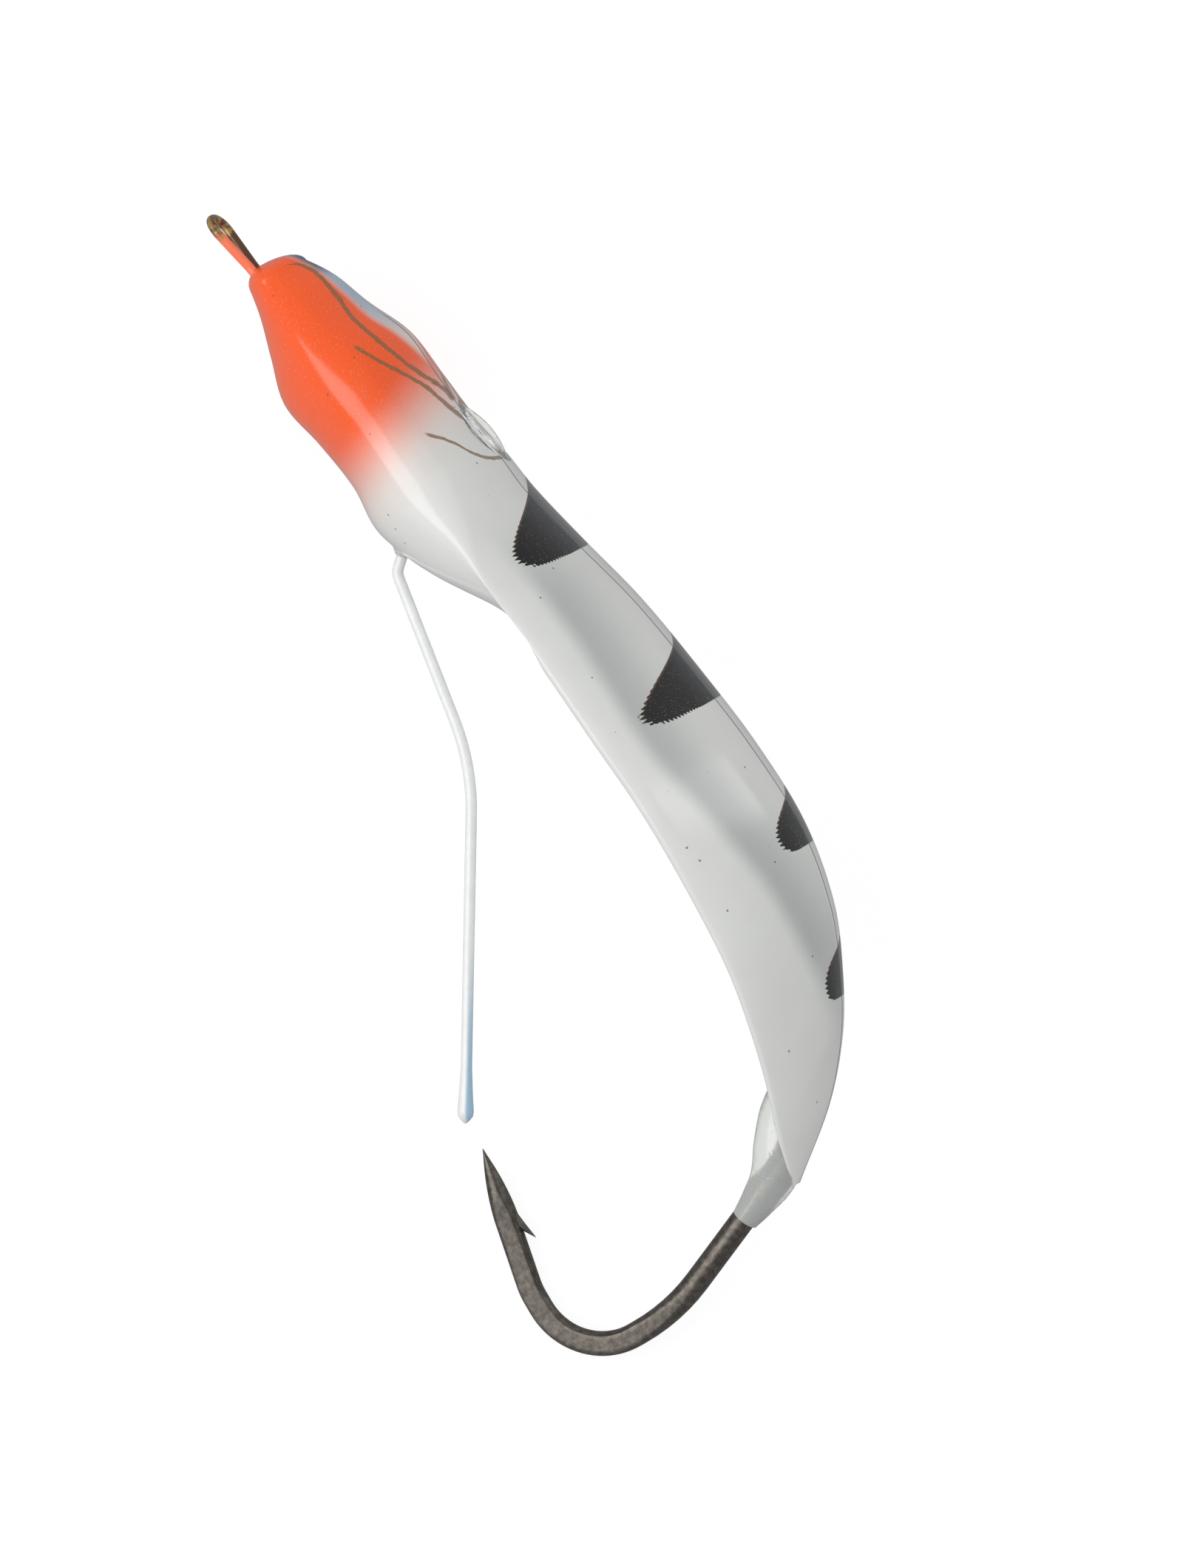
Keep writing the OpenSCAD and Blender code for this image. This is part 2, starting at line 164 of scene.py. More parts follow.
# how the lure lies
guard = {
    "exit": (23.9, -1.1825), "exitAngle": -50, "pivotAt": 0.8, "knee": 1.85, "kneeRadius": 1.3,
    "run": 15.6, "slope": -9.5, "turnRadius": 18, "tip": (63.3075, -19.9409), "radius": 0.43,
}

hinge = frame["joints"][0]
across = Vector(hinge["axis"])  # straight across the body, towards the near side
roll, pitch = math.asin(-across.y), math.atan2(across.x, across.z)
turned = Matrix.Rotation(pitch, 3, "Y") @ Matrix.Rotation(roll, 3, "X")
guardOut = Vector((math.cos(math.radians(guard["exitAngle"])), math.sin(math.radians(guard["exitAngle"]))))
pivot = Vector(guard["exit"]) + guardOut * guard["pivotAt"]
nose = Vector(hinge["pos_m"]) - turned @ pivot.to_3d() * mm  # the tip of the nose, in the frame
laid = Matrix.Translation(nose) @ turned.to_4x4()


def layDown(obj):  # from the lure's own frame to where it lies
    obj.data.transform(laid)
    obj.data.update()
    return obj


def finishPiece(obj, body, slot, material, *nodes):
    obj.data.materials.clear()
    obj.data.materials.append(material)
    if body:
        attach(obj, body)
    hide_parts(*nodes)
    return obj


# camera, floor and light
look = {
    "lens": 250, "sensor": 36, "frameHeight": 117.5, "along": 46.23, "over": 2.13, "depth": 3,
    "tilt": 18, "turn": -59.6,
}

studio = {
    "sky": (0.95, 0.97, 1.0), "skyStrength": 0.32, "floorSize": 6, "floorDrop": 0.05, "clip": (0.01, 20),
    "paper": (0.12, 0.12, 0.12), "paperLight": (0.14, 0.14, 0.14), "paperGlow": 0.9, "grain": 900,
}

tilt, turn = math.radians(look["tilt"]), math.radians(look["turn"])
ridgeWay = Vector((0, math.cos(tilt), -math.sin(tilt)))
towards = Vector((0, math.sin(tilt), math.cos(tilt)))
right = Vector((1, 0, 0)) * math.cos(turn) - ridgeWay * math.sin(turn)
up = Vector((1, 0, 0)) * math.sin(turn) + ridgeWay * math.cos(turn)
target = laid @ ((Vector((look["along"], 0, 0)) + ridgeWay * look["over"] + towards * look["depth"]) * mm)
axes = [turned @ axis for axis in (right, up, towards)]
distance = look["frameHeight"] * mm * look["lens"] / look["sensor"]

cameraData = bpy.data.cameras.new("camera")
cameraData.lens, cameraData.sensor_width = look["lens"], look["sensor"]
cameraData.clip_start, cameraData.clip_end = studio["clip"]
camera = bpy.data.objects.new("camera", cameraData)
bpy.context.scene.collection.objects.link(camera)
camera.matrix_world = Matrix.Translation(target + axes[2] * distance) @ Matrix(axes).transposed().to_4x4()
bpy.context.scene.camera = camera

# name; place to the right, upwards and towards the camera; size; power; whether it shines in the varnish
lamps = [
    ("softboxLeft", (-0.5, -0.05, 0.6), (0.6, 0.8), 3.6, True),
    ("stripRight", (0.5, 0.3, 0.2), (0.08, 0.9), 0.5, True),
    ("softboxTop", (0.05, 0.25, 0.85), (0.5, 0.5), 2.3, False),
]
for name, place, size, power, mirrored in lamps:
    lampData = bpy.data.lights.new(name, "AREA")
    lampData.shape, lampData.size, lampData.size_y, lampData.energy = "RECTANGLE", *size, power
    lamp = bpy.data.objects.new(name, lampData)
    bpy.context.scene.collection.objects.link(lamp)
    lamp.visible_glossy = mirrored
    lamp.location = target + sum((axis * share for axis, share in zip(axes, place)), Vector())
    lamp.rotation_euler = (lamp.location - target).to_track_quat("Z", "Y").to_euler()

world = bpy.data.worlds.new("studio")
bpy.context.scene.world = world
world.use_nodes = True
sky = world.node_tree.nodes["Background"]
sky.inputs["Color"].default_value = (*studio["sky"], 1)
sky.inputs["Strength"].default_value = studio["skyStrength"]
bpy.context.scene.view_settings.view_transform = "Standard"

clearSelection()
floorPlace = (target.x, target.y, cadBox[0].z - studio["floorDrop"] * mm)
bpy.ops.mesh.primitive_plane_add(size=studio["floorSize"], location=floorPlace)
floor = bpy.context.object
floor.name = "floor"
floor.visible_glossy = False
print("camera, lights and floor set")


# shader maths
class Signal:  # a socket that takes part in sums
    def __init__(self, finish, socket):
        self.finish, self.socket = finish, socket

    def sum(self, operation, *values):
        return self.finish.add("ShaderNodeMath", {"operation": operation}, dict(enumerate(values)))

    def __add__(self, other):
        return self.sum("ADD", self, other)

    def __radd__(self, other):
        return self.sum("ADD", other, self)

    def __sub__(self, other):
        return self.sum("SUBTRACT", self, other)

    def __rsub__(self, other):
        return self.sum("SUBTRACT", other, self)

    def __mul__(self, other):
        return self.sum("MULTIPLY", self, other)

    def __rmul__(self, other):
        return self.sum("MULTIPLY", other, self)

    def __truediv__(self, other):
        return self.sum("DIVIDE", self, other)

    def __rtruediv__(self, other):
        return self.sum("DIVIDE", other, self)

    def __pow__(self, other):
        return self.sum("POWER", self, other)

    def __abs__(self):
        return self.sum("ABSOLUTE", self)

    def over(self, low, high):  # 0 below low, 1 above high, eased between
        values = {"Value": self, "From Min": low, "From Max": high}
        return self.finish.add("ShaderNodeMapRange", {"interpolation_type": "SMOOTHSTEP"}, values)

    def under(self, low, high):
        return 1 - self.over(low, high)


class Finish:  # one material and its nodes
    def __init__(self, name, **fixed):
        self.material = bpy.data.materials.new(name)
        self.material.use_nodes = True
        self.tree = self.material.node_tree
        self.shader = self.tree.nodes["Principled BSDF"]
        for word, value in fixed.items():
            self.feed(**{word: value})

    def link(self, socket, value):
        if isinstance(value, Signal):
            self.tree.links.new(value.socket, socket)
        elif isinstance(value, (tuple, list)) and len(value) == 3 and socket.type == "RGBA":
            socket.default_value = (*value, 1)
        else:
            socket.default_value = value

    def add(self, kind, settings=None, values=None, out=0):
        node = self.tree.nodes.new(kind)
        settings = dict(settings or {})
        stops, bends = settings.pop("stops", None), settings.pop("bends", None)
        for name, value in settings.items():
            setattr(node, name, value)
        if stops:
            while len(node.color_ramp.elements) < len(stops):
                node.color_ramp.elements.new(0.5)
            for element, (place, colour) in zip(node.color_ramp.elements, stops):
                element.position, element.color = place, (*colour, 1)
        if bends:
            points = node.mapping.curves[0].points
            while len(points) < len(bends):
                points.new(0.5, 0.5)
            for point, place in zip(points, bends):
                point.location = place
            node.mapping.update()
        for key, value in (values or {}).items():
            self.link(node.inputs[key], value)
        return Signal(self, node.outputs[out])

    def feed(self, **values):  # baseColor feeds Base Color, and so on
        for word, value in values.items():
            name = "".join(" " + c if c.isupper() else c for c in word).title()
            self.link(self.shader.inputs[name.replace("Ior", "IOR")], value)

    def place(self):  # Object coordinates in the lure's own frame, in millimetres
        coords = self.add("ShaderNodeTexCoord", out=3)
        back = turned.transposed().to_euler()
        away = -(turned.transposed() @ nose)
        return self.add("ShaderNodeMapping", {}, {
            "Vector": coords, "Location": away / mm, "Rotation": back, "Scale": (1 / mm,) * 3,
        })

    def parts(self, vector):
        return [self.add("ShaderNodeSeparateXYZ", {}, {0: vector}, out) for out in range(3)]

    def noise(self, vector, scale, detail=2.0, roughness=0.5, stretch=(1, 1, 1)):
        placed = self.add("ShaderNodeMapping", {}, {"Vector": vector, "Scale": stretch})
        values = {"Vector": placed, "Scale": scale, "Detail": detail, "Roughness": roughness}
        return self.add("ShaderNodeTexNoise", {}, values)

    def mix(self, factor, a, b):
        return self.add("ShaderNodeMix", {"data_type": "RGBA"}, {0: factor, 6: a, 7: b}, 2)

    def bump(self, height, distance, strength=1.0):
        values = {"Height": height, "Distance": distance * mm, "Strength": strength}
        return self.add("ShaderNodeBump", {}, values)


glow = {"emissionColor": (1, 1, 1), "emissionStrength": studio["paperGlow"]}
floorFinish = Finish("floorPaper", roughness=0.9, **glow)
grain = floorFinish.noise(floorFinish.add("ShaderNodeTexCoord", out=3), studio["grain"], 3)
floorFinish.feed(baseColor=floorFinish.mix(grain, studio["paper"], studio["paperLight"]))
floor.data.materials.append(floorFinish.material)


# the painted body, in two moulded halves
body = {
    "length": 80, "width": 22, "arch": 14.8, "wall": 3.2, "rim": 1.0, "rimFade": 1.2, "rimShare": 1.05,
    "crest": 0.12, "topPower": 2.2, "sidePower": 0.75, "hollowStart": 24, "hollowFull": 43, "tailTaper": 9,
    "noseRadius": 1.4, "noseHeight": 0.4, "soft": 3.2, "softFrom": 20, "softTo": 30, "groove": 0.05,
    "outerSteps": 34, "rimSteps": 8, "innerSteps": 20, "noseRings": 8, "cuts": (12, 11), "sharp": 40,
    # place, ridge, rim and half-width, in percent of the length, arch, arch and half the width
    "form": [
        (0, 18, 3.5, 22), (4, 33, 8, 38), (8, 41, 13.5, 54), (12.5, 52, 20, 66), (17.5, 54.5, 26, 75),
        (22.5, 57, 29, 82), (27, 61.5, 33, 86), (31, 64, 38, 89), (37.5, 73, 42.5, 93), (45, 84, 48.5, 97),
        (54, 92.5, 53, 100), (62.5, 98.5, 56.5, 100), (71, 100, 55.5, 96), (79, 92, 50.5, 86),
        (85, 78, 41, 71), (90, 62, 30, 54), (95, 38, 16, 34), (100, 3.5, 1, 5),
    ],
    # the underside of the head: place and height, in percent
    "belly": [
        (0, -7), (4, -10), (8, -16), (12.5, -22.5), (17.5, -16.5), (22.5, -12), (27, -13), (31, -5.5),
        (37.5, 9), (45, 32), (54, 56),
    ],
}


def rowAt(x, column):
    return smoothRow(body["form"], 100 * x / body["length"], column)


def ridgeY(x):
    return rowAt(x, 1) * body["arch"] / 100


def rimY(x):
    return rowAt(x, 2) * body["arch"] / 100


def halfWidth(x):
    return rowAt(x, 3) * body["width"] / 200


def ridgeSlope(x):
    return ridgeY(x + 0.5) - ridgeY(x - 0.5)


def wallAt(x):
    return body["wall"] * math.sqrt(1 + ridgeSlope(min(x, body["length"] - 0.5)) ** 2)


def underY(x):
    hollow = ease((x - body["hollowStart"]) / (body["hollowFull"] - body["hollowStart"]))
    thin = max(0.04, (body["length"] - x) / body["tailTaper"])
    inside = ridgeY(x) - wallAt(x) * limit(thin)
    belly = smoothRow(body["belly"], 100 * x / body["length"], 1) * body["arch"] / 100
    return (1 - hollow) * belly + hollow * inside


def outerY(x, share):
    crown = max(0, 1 - share ** body["topPower"]) ** body["sidePower"]
    crown = crown * (1 - body["crest"]) + body["crest"] * (1 - share)
    return rimY(x) + (ridgeY(x) - rimY(x)) * crown


def crossSection(x):  # (height, distance from the seam, share) round one half, from the ridge to the seam
    rim, under, wide = rimY(x), underY(x), halfWidth(x)
    thick = max(0.01, min(body["rim"], wide) / 2 * limit((under - rim) / body["rimFade"]))
    groove = min(body["groove"], wide / 10)
    outline = [(outerY(x, 0) - groove, 0, 0)]
    steps = body["outerSteps"]
    shares = [groove / wide] + [math.sin(math.pi / 2 * k / steps) for k in range(1, steps + 1)]
    outline += [(outerY(x, share), wide * share, share) for share in shares]
    for k in range(1, body["rimSteps"] + 1):
        angle = math.pi * k / body["rimSteps"]
        out = wide - thick * (1 - math.cos(angle))
        outline.append((rim - thick * math.sin(angle), out, body["rimShare"]))
    inside = wide - 2 * thick
    for k in range(body["innerSteps"] - 1, -1, -1):
        share = math.sin(math.pi / 2 * k / body["innerSteps"])
        outline.append((rim + (under - rim) * (1 - share * share), inside * share, 2 - share))
    soft = body["soft"] * (1 - ease((x - body["softFrom"]) / (body["softTo"] - body["softFrom"])))
    return softened(outline, Vector((rim, wide)), min(soft, wide / 3)) if soft > 0.05 else outline


def softened(outline, corner, soft):  # rounds the jaw's crease off
    places = [Vector(point[:2]) - corner for point in outline]
    nearby = [k for k, place in enumerate(places) if place.length < soft]
    sides = places[nearby[0] - 1].normalized(), places[nearby[-1] + 1].normalized()
    rounded = list(outline)
    for k in nearby:
        q = (1 - places[k].length / soft) / 2
        own, other = sides if k < body["outerSteps"] + 2 else sides[::-1]
        place = corner + (own * (1 - q) ** 2 + other * q ** 2) * soft
        rounded[k] = (place.x, place.y, outline[k][2])
    return rounded


def bodyRings():
    count = (body["cuts"][0] + 1) * (body["cuts"][1] + 1) + 1
    r, rings = body["noseRadius"], []
    tip = crossSection(r)
    for k in range(body["noseRings"]):
        t = math.pi / 2 * (k + 0.25) / body["noseRings"]
        mid, shrink = body["noseHeight"], math.sin(t)
        rings.append([(r * (1 - math.cos(t)), mid + (y - mid) * shrink, z * shrink, v) for y, z, v in tip])
    rest = count - body["noseRings"]
    for k in range(rest):
        x = r + (body["length"] - r) * k / (rest - 1)
        rings.append([(x, y, z, v) for y, z, v in crossSection(x)])
    return rings


def moulding(name, side):  # side is 1 for the near half and -1 for the far one
    rings = bodyRings()
    around = len(rings[0])
    clearSelection()
    bpy.ops.mesh.primitive_cylinder_add(vertices=around, radius=1, depth=2, end_fill_type="NGON")
    obj = bpy.context.object
    obj.name = obj.data.name = name
    for cuts in body["cuts"]:
        editAll(obj)
        bpy.ops.mesh.select_mode(type="EDGE")
        bpy.ops.mesh.select_all(action="DESELECT")
        bpy.ops.object.mode_set(mode="OBJECT")
        for edge in obj.data.edges:
            a, b = (obj.data.vertices[i].co for i in edge.vertices)
            edge.select = abs(a.z - b.z) > 1e-4
        bpy.ops.object.mode_set(mode="EDIT")
        bpy.ops.mesh.subdivide(number_cuts=cuts)
        bpy.ops.object.mode_set(mode="OBJECT")
    share = obj.data.attributes.new("share", "FLOAT", "POINT")
    for vertex in obj.data.vertices:
        ring = rings[round((vertex.co.z + 1) / 2 * (len(rings) - 1))]
        x, y, z, v = ring[round(math.atan2(vertex.co.y, vertex.co.x) / math.tau * around) % around]
        share.data[vertex.index].value = v * side
        vertex.co = (x * mm, y * mm, z * side * mm)
    closeUp(obj, 0.002 * mm)
    cutEyeSeat(obj)
    smoothShade(obj, body["sharp"])
    return layDown(obj)


eye = {
    "at": 19.2, "beside": 1.9, "radius": 3.0, "clear": 0.05, "sink": 0.55, "seatDepth": 4,
    "pupilRadius": 1.0, "irisRadius": 2.3,
    "gold": (0.50, 0.33, 0.10), "silver": (0.75, 0.77, 0.76), "pupil": (0.02, 0.015, 0.01),
}


def cutEyeSeat(obj):
    x, wide = eye["at"], halfWidth(eye["at"])
    share = eye["beside"] / wide
    lean = math.atan((outerY(x, share + 0.05) - outerY(x, share - 0.05)) / (0.1 * wide))
    facing = Matrix.Rotation(lean - math.pi / 2, 4, "X") @ Matrix.Rotation(-math.atan(ridgeSlope(x)), 4, "Y")
    depth = eye["seatDepth"] * mm
    clearSelection()
    bpy.ops.mesh.primitive_cylinder_add(vertices=64, radius=(eye["radius"] + eye["clear"]) * mm, depth=depth)
    cutter = bpy.context.object
    lift = Matrix.Translation((0, 0, depth / 2 - eye["sink"] * mm))
    seat = Matrix.Translation(Vector((x, outerY(x, share), -eye["beside"])) * mm)
    cutter.data.transform(seat @ facing @ lift)
    applyModifier(obj, "BOOLEAN", operation="DIFFERENCE", object=cutter, solver="EXACT")
    bpy.data.objects.remove(cutter)


paint = {
    "base": (0.76, 0.765, 0.735), "shade": (0.68, 0.685, 0.665), "orange": (0.95, 0.11, 0.018),
    "peach": (1.0, 0.46, 0.30), "ink": (0.23, 0.12, 0.042), "black": (0.005, 0.0045, 0.0045),
    "brownEdge": (0.10, 0.045, 0.02), "smudge": (0.04, 0.07, 0.12),
    "steelBlue": (0.36, 0.46, 0.56), "speck": (0.10, 0.095, 0.09),
    # the grey band and the line it follows on the flank are painted shade, a reflected dark gap between the
    # lamps
    "flake": (0.95, 0.95, 0.93), "stroke": 0.3, "band": (0.42, 0.435, 0.43),
    "paintedShadeLine": [(26, 5.2), (36.2, 7.2), (45, 7.6), (54.3, 9.4), (62.5, 10.3), (72, 8.2)],
    "crestLine": [(0, 2.0), (2.2, 3.7), (5, 4.75), (7.5, 5.5), (9.7, 6.6), (12, 7.4), (14.5, 8.0), (17, 8.2)],
    "jawLine": [(1.1, 1.9), (2.2, 3.45), (4.95, 4.17), (6.7, 4.3), (9.7, 5.2), (13.2, 6.6), (14.6, 7.45)],
    "cheekLine": [(9.1, 3.4), (10.75, 4.3), (12.2, 5.2), (14, 6.3), (15.1, 6.75), (17.8, 7.76), (20.3, 9.4)],
    "browLine": [(14.2, 7.0), (15.2, 7.6), (16.2, 7.75)],
    "gillLine": [(4.65, 17.5), (6.1, 19), (7.05, 20.5), (8.0, 21.4), (8.8, 21.65), (9.6, 21.5)],
    # place at the ridge, slant, place of the rear edge, end share
    "bars": [
        (25.0, 3.6, 30.6, 0.77), (40.4, 3.3, 45.4, 0.79), (54.4, 3.9, 58.3, 0.41), (66.0, 3.6, 69.4, 0.36),
    ],
    "overhang": 0.45, "tooth": 0.34, "toothDepth": 0.05,
    "barEdge": 0.03, "barRoundness": 6, "barMiddle": 0.45,
    "fadeAt": 19.0, "fadeSlant": 0.37, "fadeDust": 1.6, "sprayEdge": (-5.0, 1.2), "hazeEdge": (-3.0, 4.5),
    "crestEdge": (-0.35, 0.3), "joint": (0.07, 0.16), "jointFrom": (7, 8.5), "jointDepth": 0.8,
    "dustScale": 0.7, "dustSize": (0.05, 0.08), "dustShare": (0.52, 0.56), "flakeScale": 5.0,
    "flakeSize": (0.08, 0.16), "unsteady": 0.22,
}


def lacquer():
    f = Finish("bodyLacquer", specularIorLevel=0.2, coatWeight=1.0, coatRoughness=0.17, coatIor=1.5)
    spot = f.place()
    s, k, z = f.parts(spot)
    t = k * math.cos(tilt) - abs(z) * math.sin(tilt)
    share = f.add("ShaderNodeAttribute", {"attribute_name": "share"}, out=2)
    outside = abs(share).under(1.0, 1.06)
    wobble = (f.noise(spot, 1.6, 2) - 0.5) * paint["unsteady"]

    def curved(value, points):  # the height of a curve through the points, above that value
        (lowX, highX), (lowY, highY) = ((min(way), max(way)) for way in zip(*points))
        bends = [((a - lowX) / (highX - lowX), (b - lowY) / (highY - lowY)) for a, b in points]
        shareOf = (value - lowX) / (highX - lowX)
        return f.add("ShaderNodeFloatCurve", {"bends": bends}, {"Value": shareOf}) * (highY - lowY) + lowY

    def drawn(points, along, offset):  # a hand-drawn line, its offset as a curve of its place along
        off = abs(offset + wobble - curved(along, points))
        first, last = points[0][0], points[-1][0]
        inside = along.over(first - 0.1, first + 0.2) * along.under(last - 0.2, last + 0.1)
        return off.under(paint["stroke"] * 0.4, paint["stroke"] * 0.7) * inside

    soft = f.noise(spot, 0.35, 3)
    fine = f.noise(spot, 14, 2)
    colour = f.mix(soft.over(0.3, 0.75) * 0.25, paint["base"], paint["shade"])

    # painted shade: a soft darker grey band along the near flank, the reflected dark gap between the lamps
    # painted into the lacquer, crisp below and fading towards the ridge
    above = t - curved(s, paint["paintedShadeLine"])
    band = above.over(-1.6, 0.2) * above.under(0, 4.5) * s.over(24, 34) * s.under(64, 76) * z.over(0, 0.5)
    colour = f.mix(band * 0.8, colour, paint["band"])

    # airbrushed orange, its fade slanting back towards the belly and dusted at the edge
    fadeAt = paint["fadeAt"] - t * paint["fadeSlant"] + (fine - 0.5) * paint["fadeDust"]
    sprayed = (s - fadeAt).under(*paint["sprayEdge"])
    haze = (s - fadeAt).under(*paint["hazeEdge"])
    crest = (t - curved(s, paint["crestLine"])).under(*paint["crestEdge"])
    colour = f.mix(haze * 0.3, colour, paint["peach"])
    colour = f.mix(s.under(5, 12) * (1 - crest), colour, paint["steelBlue"])
    colour = f.mix(s.under(2.0, 3.6) * (1 - crest) * 0.9, colour, paint["smudge"])
    colour = f.mix(sprayed * crest, colour, paint["orange"])

    # black bars over the ridge, with saw-toothed lower ends
    teeth = f.add("ShaderNodeMath", {"operation": "PINGPONG"}, {0: s + share * 1.2, 1: paint["tooth"] / 2})
    reach = abs(share) + teeth * (paint["toothDepth"] * 2 / paint["tooth"])
    place = abs(share) * 10 + s * 0.3
    sideTeeth = f.add("ShaderNodeMath", {"operation": "PINGPONG"}, {0: place, 1: paint["tooth"] / 2})
    lap = abs(share + paint["overhang"]) - paint["overhang"]
    edge = paint["barEdge"]
    for front, slant, rear, end in paint["bars"]:
        full = 1 - (reach / end) ** paint["barRoundness"]
        swell = full.sum("MAXIMUM", full, 0) ** 0.5
        middle = (rear - front - slant * end) * paint["barMiddle"]
        tipAt = front + slant * end + middle
        ahead = s - (tipAt - (tipAt - front - lap * slant) * swell)
        behind = (tipAt + (rear - tipAt) * swell) - s - sideTeeth * 1.1 * abs(share).over(0.2, 0.4)
        within = ahead.over(-edge, edge) * behind.over(-edge, edge)
        mask = within * reach.under(end - 0.01, end) * outside
        rusty = ahead.under(0.08, 0.22) * 0.9
        colour = f.mix(mask, colour, f.mix(rusty, paint["black"], paint["brownEdge"]))

    lines = [
        drawn(paint["jawLine"], s, t), drawn(paint["cheekLine"], s, t),
        drawn(paint["browLine"], s, t), drawn(paint["gillLine"], t, s),
    ]
    for line in lines:
        colour = f.mix(line * outside * 0.85, colour, paint["ink"])

    # the fine joint line between the halves
    joint = abs(z).under(*paint["joint"]) * s.over(*paint["jointFrom"]) * paint["jointDepth"]
    colour = f.mix(joint, colour, paint["speck"])

    # dust and bright flakes under the varnish
    cells = {"Vector": spot, "Scale": paint["dustScale"]}
    dustOff = f.add("ShaderNodeTexVoronoi", {}, cells, 0)
    dustPick = f.parts(f.add("ShaderNodeTexVoronoi", {}, cells, 1))[0]
    dust = dustOff.under(*paint["dustSize"]) * dustPick.over(*paint["dustShare"])
    colour = f.mix(dust * 0.8, colour, paint["speck"])
    flakes = f.add("ShaderNodeTexVoronoi", {}, {"Vector": spot, "Scale": paint["flakeScale"]})
    colour = f.mix(flakes.under(*paint["flakeSize"]) * 0.35, colour, paint["flake"])

    relief = dust * 0.6 + f.noise(spot, 0.9, 2) * 1.4 + fine * 0.05
    f.feed(baseColor=colour, normal=f.bump(relief, 0.02, 0.25), roughness=0.3 + fine * 0.08)
    return f.material


lacquered = lacquer()
finishPiece(moulding("bodyShellNear", 1), "lure", "body_lacquer", lacquered, "body_half_near")
finishPiece(moulding("bodyShellFar", -1), "lure", "body_lacquer", lacquered, "body_half_far")
print("body shells moulded and painted")


# the hook
hook = {
    "radius": 0.95, "out": 3.85, "drop": 22.35, "lean": 67.5, "bendRadius": 5.3, "bendRun": 1.5,
    "spear": 11.4, "lift": 12.2, "shankPlaces": (0.825, 0.91), "shankRadius": 18,
    "exitBack": 1.7, "exitRadius": 9, "footRadius": 16, "spearRadius": 6, "point": 6,
    "pointSteps": 12, "pointPower": 1.9, "tipSize": 0.035,
    "ring": 2.6, "ringBack": 24.5, "ringTurn": (-7, 325, 10),
    "flat": 0.74, "flatFrom": 0.4, "flatEase": 6, "flatFade": 8, "flatLoss": 0.6,
    "barbAt": 5.4, "barb": [(-0.9, 0.25, 0.30), (0.2, 0.55, 0.42), (1.1, 1.0, 0.30), (2.2, 1.72, 0.03)],
    "dark": (0.095, 0.083, 0.071), "worn": (0.21, 0.19, 0.165), "crust": (0.30, 0.29, 0.27),
    "sides": 32, "ringSides": 24, "barbSides": 16, "sharp": 32, "mottle": 2.4, "scratch": 7.0, "pit": 16.0,
}


def wallMiddle(x):
    return (x, ridgeY(x) - wallAt(x) / 2)


def hookLine():
    length, r = body["length"], hook["radius"]
    lean, lift = math.radians(hook["lean"]), math.radians(hook["lift"])
    bendX = length + hook["out"]
    ringX = length - hook["ringBack"]
    slant = math.atan(ridgeSlope(ringX))
    middle = Vector(wallMiddle(ringX))
    ringExit = middle + Vector((math.cos(slant), math.sin(slant))) * hook["ring"]
    exitAt = Vector((length - hook["exitBack"], 0))
    foot = exitAt + Vector((1, -math.tan(lean))) * (bendX - exitAt.x)
    bendEnd = Vector((bendX - hook["bendRadius"] - hook["bendRun"], -hook["drop"]))
    along = Vector((-math.cos(lift), math.sin(lift)))
    tip = bendEnd + along * hook["spear"]
    shank = [(*wallMiddle(place * length), hook["shankRadius"]) for place in hook["shankPlaces"]]
    corners = [
        (*ringExit, 0), *shank, (*exitAt, hook["exitRadius"]), (*foot, hook["footRadius"]),
        (bendX, -hook["drop"], hook["bendRadius"]), (*bendEnd, hook["spearRadius"]), (*tip, 0),
    ]
    path = roundedPath(corners, 4)[:-1]
    steps = hook["pointSteps"]
    path += [tip + along * hook["point"] * (k / steps - 1) for k in range(1, steps + 1)]
    taper = [1 - (k / steps) ** hook["pointPower"] for k in range(1, steps + 1)]
    radii = [r] * (len(path) - steps) + [r * max(hook["tipSize"], size) for size in taper]
    return path, radii, middle, slant, tip, along


def forgeFlats(obj, path):  # the sides are pressed flat from the shank's foot round to the spear
    fromX, r = body["length"] + hook["flatFrom"], hook["radius"]
    start = next(i for i, p in enumerate(path) if p.x > fromX)
    stop = len(path) - hook["pointSteps"] - 1
    for vertex in obj.data.vertices:
        here = Vector((vertex.co.x, vertex.co.y)) / mm
        i = min(range(len(path)), key=lambda n: (path[n] - here).length_squared)
        lost = hook["flatLoss"] * ease((i - stop) / hook["flatFade"])
        pressed = ease((i - start) / hook["flatEase"]) * (1 - lost)
        cap = r * (1 - (1 - hook["flat"]) * pressed) * mm
        vertex.co.z = limit(vertex.co.z, -cap, cap)


def makeHook():
    path, radii, middle, slant, tip, along = hookLine()
    wire = wireAlong("hookWire", [(*p, 0) for p in path], radii, hook["sides"])
    forgeFlats(wire, path)
    turnPoints = []
    for degrees in range(*hook["ringTurn"]):
        a = math.radians(degrees)
        flatX = hook["ring"] * math.cos(a)
        side = hook["ring"] * math.sin(a)
        turnPoints.append((middle.x + flatX * math.cos(slant), middle.y + flatX * math.sin(slant), side))
    ring = wireAlong("hookRing", turnPoints, [hook["radius"]] * len(turnPoints), hook["ringSides"])
    inward = Vector((-along.y, along.x)) * -1
    inward = inward if inward.y > 0 else -inward
    barbPoints = [tip - along * (hook["barbAt"] + back) + inward * rise for back, rise, _ in hook["barb"]]
    barbRadii = [size for *_, size in hook["barb"]]
    barb = wireAlong("hookBarb", [(*p, 0) for p in barbPoints], barbRadii, hook["barbSides"])
    for part in (ring, barb):
        applyModifier(wire, "BOOLEAN", operation="UNION", object=part, solver="EXACT")
        bpy.data.objects.remove(part)
    closeUp(wire)
    smoothShade(wire, hook["sharp"])
    return layDown(wire)


